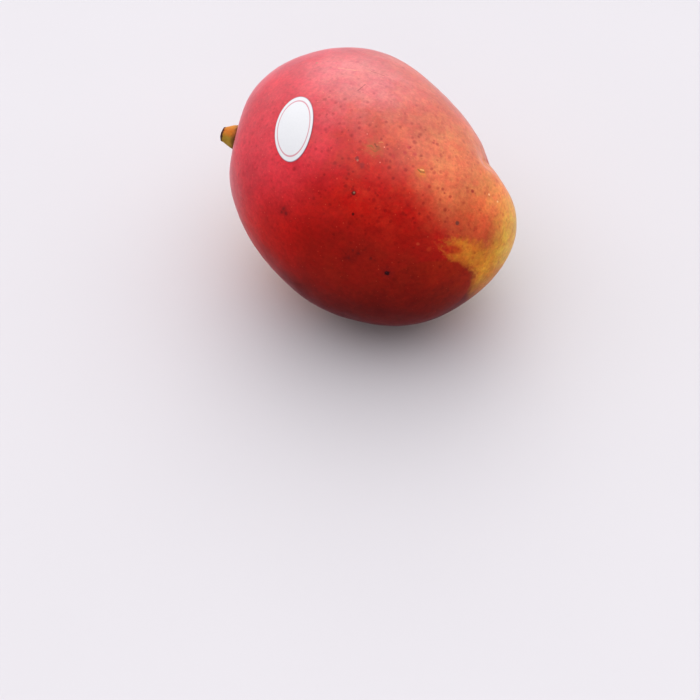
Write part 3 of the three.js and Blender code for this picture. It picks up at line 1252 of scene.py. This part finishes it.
@dataclass
class Stalk:
    """The short cut stalk, leaning from the stem cavity.

    The profile gives each ring's share of the length above the skin and of the foot's radius.
    """

    lean: float = math.radians(-5)
    root: float = 2.0 * MM
    length: float = 7.0 * MM
    base_radius: float = 4.9 * MM
    socket_margin: float = 0.35 * MM
    sides: int = 28
    profile: tuple[Span, ...] = ((0.0, 1.0), (0.2, 0.98), (0.4, 0.89), (0.6, 0.76), (0.78, 0.65),
                                 (0.9, 0.59), (0.97, 0.57), (1.0, 0.5))
    rim: float = 0.5 * MM
    hollow: float = 0.35 * MM
    pith_inset: float = 0.8 * MM
    pith_rise: float = 0.2 * MM
    knot_size: float = 2.2 * MM
    knot_height: float = 0.5 * MM
    finish: StalkFinish = field(default_factory=StalkFinish)

    def __post_init__(self) -> None:
        """Finds the stalk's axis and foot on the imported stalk."""
        own_axis = Vector((-math.cos(self.lean), math.sin(self.lean), 0))
        self.axis = AXES.turn() @ own_axis
        points = [v.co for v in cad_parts["stalk"].data.vertices]
        middle = sum(points, Vector()) / len(points)
        lowest = min((p - middle).dot(self.axis) for p in points)
        self.foot = middle + self.axis * (lowest + self.root)

    def in_socket(self, point: Vector) -> bool:
        """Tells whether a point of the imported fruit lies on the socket's wall or floor.

        Args:
            point: the point.

        Returns:
            True within the stalk's radius and a margin.
        """
        since = point - self.foot
        height = since.dot(self.axis)
        radius = (since - self.axis * height).length
        return radius < self.base_radius + self.socket_margin and abs(height) < self.length

    def build(self) -> bpy.types.Object:
        """Models the stalk from its root up, ring by ring, and hollows its cut end a little.

        Returns:
            The finished stalk.
        """
        turn = self.axis.to_track_quat("Z", "Y").to_euler()
        only(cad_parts["stalk"])
        bpy.ops.mesh.primitive_circle_add(vertices=self.sides, radius=self.base_radius, fill_type="NGON",
                                          location=self.foot - self.axis * self.root, rotation=turn)
        stalk = bpy.context.object
        stalk.name = "mango_stalk"
        bpy.ops.object.mode_set(mode="EDIT")
        bpy.ops.mesh.select_all(action="SELECT")
        height, radius = -self.root, self.base_radius
        for part, share in self.profile:
            rise = self.axis * (part * self.length - height)
            bpy.ops.mesh.extrude_region_move(TRANSFORM_OT_translate={"value": rise})
            bpy.ops.transform.resize(value=(self.base_radius * share / radius,) * 3)
            height, radius = part * self.length, self.base_radius * share
        bpy.ops.mesh.inset(thickness=self.rim)
        bpy.ops.transform.translate(value=self.axis * -self.hollow)
        bpy.ops.mesh.inset(thickness=self.pith_inset)
        bpy.ops.transform.translate(value=self.axis * self.pith_rise)
        bpy.ops.mesh.select_all(action="SELECT")
        bpy.ops.mesh.normals_make_consistent(inside=False)
        leave_edit()
        settle(stalk)
        apply_modifier(stalk, "SUBSURF", levels=2, render_levels=2)
        roughen(stalk, "knots", self.knot_size, self.knot_height, 3)
        only(stalk)
        bpy.ops.object.shade_smooth()
        return stalk

    def dress(self, stalk: bpy.types.Object) -> None:
        """Gives the stalk its finish and its place in the part."""
        stalk.data.materials.append(self.finish.build(self.foot, self.axis, self.length))
        hand_over(stalk, "stalk")


@dataclass
class Label:
    """The oval paper label, laid close on the skin."""

    from_apex: float = 121
    around: float = 90
    length: float = 25 * MM
    width: float = 15 * MM
    turn: float = 16
    thickness: float = 0.16 * MM
    lift: float = 0.03 * MM
    start_height: float = 4 * MM
    points: int = 96
    rings: int = 9
    sharp_from: float = math.radians(40)
    finish: LabelFinish = field(default_factory=LabelFinish)

    def __post_init__(self) -> None:
        """Works out the label's axes: X along it, Y across it, Z out of the skin."""
        spread = Zone(self.from_apex, self.around, 1, 1)
        low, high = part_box("label")
        self.centre = (low + high) / 2
        outward = (AXES.turn() @ spread.centre()).normalized()
        to_stem, round_fruit = (AXES.turn() @ way for way in spread.ways())
        angle = math.radians(self.turn)
        along = (to_stem * math.sin(angle) - round_fruit * math.cos(angle)).normalized()
        across = outward.cross(along)
        self.axes = Matrix((along, across, outward)).transposed()

    def build(self, skin: bpy.types.Object) -> bpy.types.Object:
        """Models the label flat, ring inside ring, and lays it on the skin.

        Args:
            skin: the modelled skin.

        Returns:
            The finished label.
        """
        only(skin)
        start = self.centre + self.axes @ Vector((0, 0, self.start_height))
        bpy.ops.mesh.primitive_circle_add(vertices=self.points, radius=1, fill_type="NOTHING",
                                          location=start, rotation=self.axes.to_euler())
        label = bpy.context.object
        label.name = "paper_label"
        bpy.ops.transform.resize(value=(self.length / 2, self.width / 2, 1), orient_type="LOCAL")
        bpy.ops.object.mode_set(mode="EDIT")
        bpy.ops.mesh.select_all(action="SELECT")
        for ring in range(self.rings, 1, -1):
            bpy.ops.mesh.extrude_edges_move()
            bpy.ops.transform.resize(value=((ring - 1) / ring,) * 3)
        bpy.ops.mesh.edge_face_add()
        bpy.ops.mesh.poke()
        bpy.ops.mesh.select_all(action="SELECT")
        bpy.ops.mesh.normals_make_consistent(inside=False)
        leave_edit()
        apply_modifier(label, "SHRINKWRAP", target=skin, wrap_method="PROJECT", use_project_z=True,
                       use_negative_direction=True, use_positive_direction=True, offset=self.lift)
        settle(label)
        outward = self.axes.col[2]
        if sum(p.normal.dot(outward) for p in label.data.polygons) < 0:
            pick(label, lambda co: True)
            bpy.ops.mesh.flip_normals()
            leave_edit()
        apply_modifier(label, "SOLIDIFY", thickness=self.thickness, offset=1.0)
        only(label)
        bpy.ops.object.shade_smooth_by_angle(angle=self.sharp_from)
        return label

    def dress(self, label: bpy.types.Object) -> None:
        """Gives the label its finish and its place in the part.

        Args:
            label: the finished label.
        """
        material = self.finish.build(self.centre, self.axes, self.length / 2, self.width / 2)
        label.data.materials.append(material)
        hand_over(label, "label")


def hand_over(piece: bpy.types.Object, node: str) -> None:
    """Lets a finished piece ride on the part's body and stand for its solid.

    Args:
        piece: the finished piece.
        node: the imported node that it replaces.
    """
    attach(piece, BODY)
    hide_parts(node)
    LOG.info("%s: %d faces, for %s", piece.name, len(piece.data.polygons), node)


# Studio

@dataclass(frozen=True)
class Studio:
    """A plain pale floor under soft light from above and behind, seen from above the near cheek.

    Pixels are counted in a square frame of 700. The light's tilts, reaches and blurs are in degrees.
    """

    azimuth: float = math.radians(21.9)
    elevation: float = math.radians(45)
    distance: float = 0.547
    focal_px: float = 1452.0
    fruit_px: tuple[float, float] = (372.2, 186.8)
    sensor: float = 36.0
    floor_side: float = 60.0
    floor_dark: Colour = srgb(205, 204, 206)
    floor_light: Colour = srgb(209, 208, 210)
    sky: Colour = srgb(254, 252, 255)
    cap_tilt: float = 21.0
    cap_reach: float = 58.0
    cap_blur: float = 7.0
    bright: float = 1.13
    dim: float = 0.3
    horizon: float = 1.0
    floor_tone: float = 0.66
    window_tilt: float = 52.0
    window_reach: float = 20.0
    window_blur: float = 9.0
    window_bright: float = 0.85

    def build(self) -> None:
        """Makes the floor, the camera and the light."""
        self._floor()
        self._camera()
        self._light()
        scene = bpy.context.scene
        scene.view_settings.view_transform = "Standard"
        scene.view_settings.look = "High Contrast"

    def _floor(self) -> None:
        """A wide matt floor, a little uneven in tone."""
        bpy.ops.mesh.primitive_plane_add(size=self.floor_side)
        floor = bpy.context.object
        floor.name = "floor"
        material, s, shader = blank_material("floor")
        tone = s.noise(s.here(), 6.0, 2.0)
        s.feed(shader.inputs["Base Color"], s.mix(tone, self.floor_dark, self.floor_light))
        shader.inputs["Roughness"].default_value = 0.9
        shader.inputs["Specular IOR Level"].default_value = 0.1
        floor.data.materials.append(material)

    def _camera(self) -> None:
        """The camera, turned so that the fruit stands at its own place in the picture."""
        low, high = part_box("fruit")
        centre = (low + high) / 2
        a, e = self.azimuth, self.elevation
        back = Vector((math.sin(a) * math.cos(e), -math.cos(a) * math.cos(e), math.sin(e)))
        right = Vector((math.cos(a), math.sin(a), 0))
        level = Matrix((right, back.cross(right), back)).transposed()
        half = PHOTO_SIDE / 2
        over = (self.fruit_px[0] - half) / self.focal_px
        up = (half - self.fruit_px[1]) / self.focal_px
        behind = -Vector((over, up, -1)).normalized()
        side = Vector((0, 1, 0)).cross(behind).normalized()
        aside = Matrix((side, behind.cross(side), behind)).transposed()
        data = bpy.data.cameras.new("camera")
        data.sensor_width = self.sensor
        data.lens = self.focal_px * self.sensor / PHOTO_SIDE
        camera = bpy.data.objects.new("camera", data)
        place = Matrix.Translation(centre + back * self.distance)
        camera.matrix_world = place @ (level @ aside.transposed()).to_4x4()
        bpy.context.scene.collection.objects.link(camera)
        bpy.context.scene.camera = camera

    def _light(self) -> None:
        """A soft sky: a bright cap and a window tilted back over the fruit, a pale horizon, a dim rest."""
        world = bpy.data.worlds.new("studio")
        bpy.context.scene.world = world
        world.use_nodes = True
        world.node_tree.nodes.clear()
        s = Sketch(world.node_tree)
        way = s.vector("NORMALIZE", s.node("ShaderNodeTexCoord").outputs["Generated"])
        split = s.node("ShaderNodeSeparateXYZ")
        s.feed(split.inputs[0], way)
        height = split.outputs["Z"]
        cap = self._disc(s, way, self.cap_tilt, self.cap_reach, self.cap_blur, (self.dim, self.bright))
        window = self._disc(s, way, self.window_tilt, self.window_reach, self.window_blur,
                            (0.0, self.window_bright))
        low = s.step(height, 0.0, 0.2, (self.floor_tone, self.horizon))
        rim = s.times(low, s.step(height, 0.25, 0.6, (1.0, 0.0)))
        sky = s.node("ShaderNodeBackground")
        sky.inputs["Color"].default_value = (*self.sky, 1.0)
        s.feed(sky.inputs["Strength"], s.math("ADD", s.math("MAXIMUM", cap, rim), window))
        out = s.node("ShaderNodeOutputWorld")
        s.feed(out.inputs["Surface"], sky.outputs["Background"])

    def _disc(self, s: Sketch, way: Socket, tilt: float, reach: float, blur: float, to: Span) -> Socket:
        """A round part of the sky, tilted back over the fruit, with a soft edge.

        Args:
            s: the world's sketch.
            way: the direction into the sky.
            tilt: how far its middle is tilted back from straight up.
            reach: from its middle to its edge.
            blur: how far the edge fades on either side.
            to: its strength outside and inside.

        Returns:
            The strength.
        """
        back = Vector((-math.sin(self.azimuth), math.cos(self.azimuth), 0))
        lean = math.radians(tilt)
        toward = back * math.sin(lean) + Vector((0, 0, math.cos(lean)))
        outer, inner = math.cos(math.radians(reach + blur)), math.cos(math.radians(reach - blur))
        return s.step(s.measure("DOT_PRODUCT", way, toward), outer, inner, to)


def main() -> None:
    """Builds the mango's pieces, then the studio."""
    logging.basicConfig(level=logging.INFO, format="%(name)s: %(message)s")
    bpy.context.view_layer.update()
    effects = Effects()
    stalk = Stalk()
    skin = Skin()
    label = Label()
    skin_piece = skin.build(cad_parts["fruit"], stalk)
    skin.dress(skin_piece, effects, stalk)
    stalk.dress(stalk.build())
    label.dress(label.build(skin_piece))
    Studio().build()


if __name__ == "__main__":
    main()
